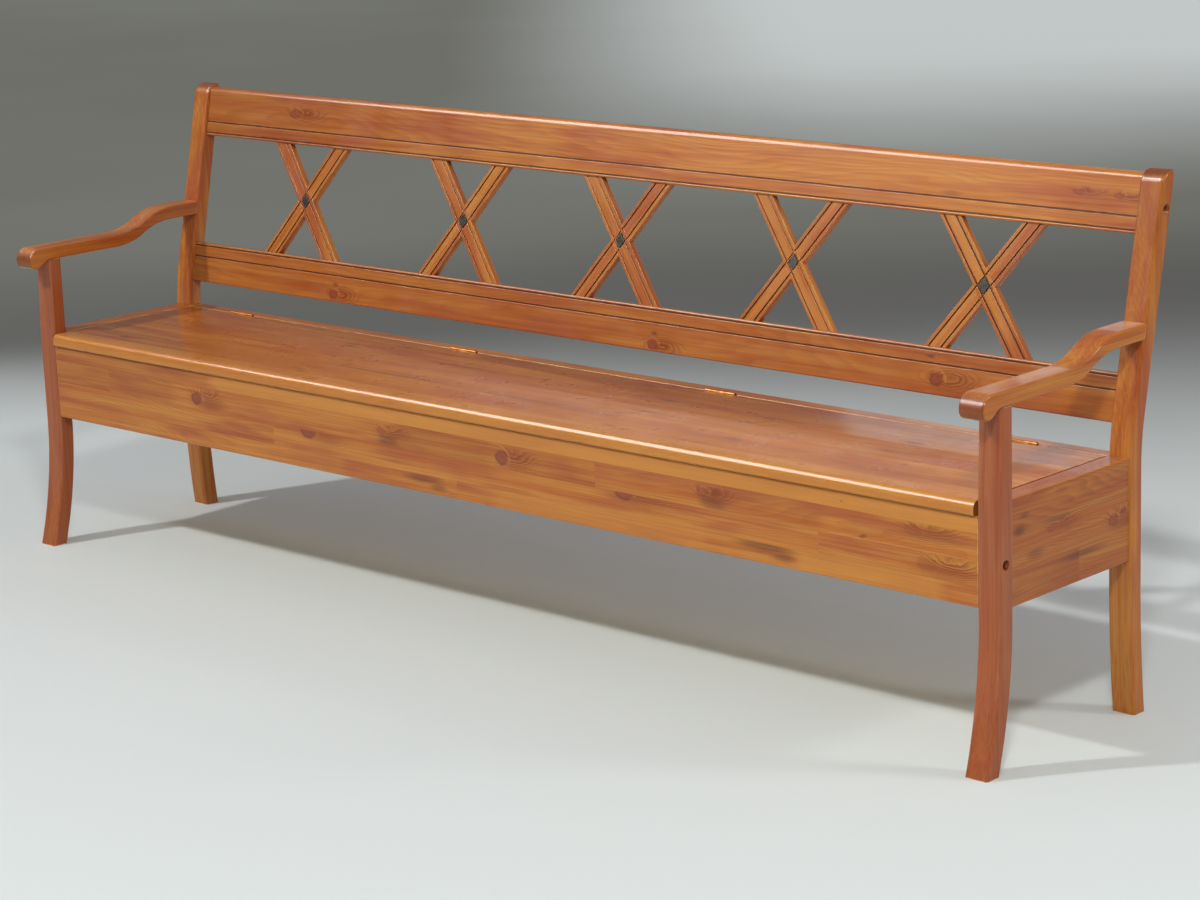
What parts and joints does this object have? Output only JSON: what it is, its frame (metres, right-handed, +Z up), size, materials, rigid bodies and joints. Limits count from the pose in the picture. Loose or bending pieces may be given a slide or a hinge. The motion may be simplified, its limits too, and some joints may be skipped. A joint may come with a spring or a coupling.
{
  "type": "storage bench",
  "caption": "Long pine storage bench with a raked back of crossed strips, scrolled armrests and a hinged seat over a chest.",
  "frame": {"origin": "on the floor, in the middle of the bench's overall length and depth", "axes": "+Z up, X along the bench with +X to the sitter's left, -Y out of the front"},
  "size_m": [2.44, 0.5345, 0.9103],
  "materials": {
    "stained_pine": "honey stain under semi-gloss varnish",
    "plain_pine": "sanded, thin varnish",
    "chest_plywood": "sanded plywood",
    "dark_inlay": "dark green stain, satin varnish",
    "beech": "plain fluted dowel stock",
    "hinge_brass": "aged brass",
    "brass_screws": "aged brass",
    "zinc_steel": "zinc plated"
  },
  "bodies": {
    "frame": {"barrel_nuts": "zinc_steel", "chest_bottom": "chest_plywood", "cleat_screws": "zinc_steel", "connector_bolts": "zinc_steel", "cross_1_diamond": "dark_inlay", "cross_1_front_strip": "stained_pine", "cross_1_rear_strip": "stained_pine", "cross_2_diamond": "dark_inlay", "cross_2_front_strip": "stained_pine", "cross_2_rear_strip": "stained_pine", "cross_3_diamond": "dark_inlay", "cross_3_front_strip": "stained_pine", "cross_3_rear_strip": "stained_pine", "cross_4_diamond": "dark_inlay", "cross_4_front_strip": "stained_pine", "cross_4_rear_strip": "stained_pine", "cross_5_diamond": "dark_inlay", "cross_5_front_strip": "stained_pine", "cross_5_rear_strip": "stained_pine", "dowels": "beech", "front_board": "stained_pine", "front_cleat": "plain_pine", "hinge_1_fixed_leaf": "hinge_brass", "hinge_1_pin": "hinge_brass", "hinge_2_fixed_leaf": "hinge_brass", "hinge_2_pin": "hinge_brass", "hinge_3_fixed_leaf": "hinge_brass", "hinge_3_pin": "hinge_brass", "hinge_4_fixed_leaf": "hinge_brass", "hinge_4_pin": "hinge_brass", "hinge_strip_screws": "brass_screws", "left_armrest": "stained_pine", "left_cleat": "plain_pine", "left_end_board": "stained_pine", "left_front_leg": "stained_pine", "left_rear_post": "stained_pine", "lower_rail": "stained_pine", "middle_bearer": "plain_pine", "rear_board": "stained_pine", "rear_cleat": "plain_pine", "right_armrest": "stained_pine", "right_cleat": "plain_pine", "right_end_board": "stained_pine", "right_front_leg": "stained_pine", "right_rear_post": "stained_pine", "seat_strip": "stained_pine", "top_rail": "stained_pine"},
    "lid": {"batten_screws": "zinc_steel", "hinge_1_lid_leaf": "hinge_brass", "hinge_2_lid_leaf": "hinge_brass", "hinge_3_lid_leaf": "hinge_brass", "hinge_4_lid_leaf": "hinge_brass", "hinge_lid_screws": "brass_screws", "lid_batten_1": "plain_pine", "lid_batten_2": "plain_pine", "lid_batten_3": "plain_pine", "seat_lid": "stained_pine"}
  },
  "joints": [
    {"name": "lid_hinge", "type": "hinge", "parent": "frame", "child": "lid", "pos_m": [0, 0.14, 0.4465], "axis": [-1, 0, 0], "range_deg": [0, 103]}
  ]
}
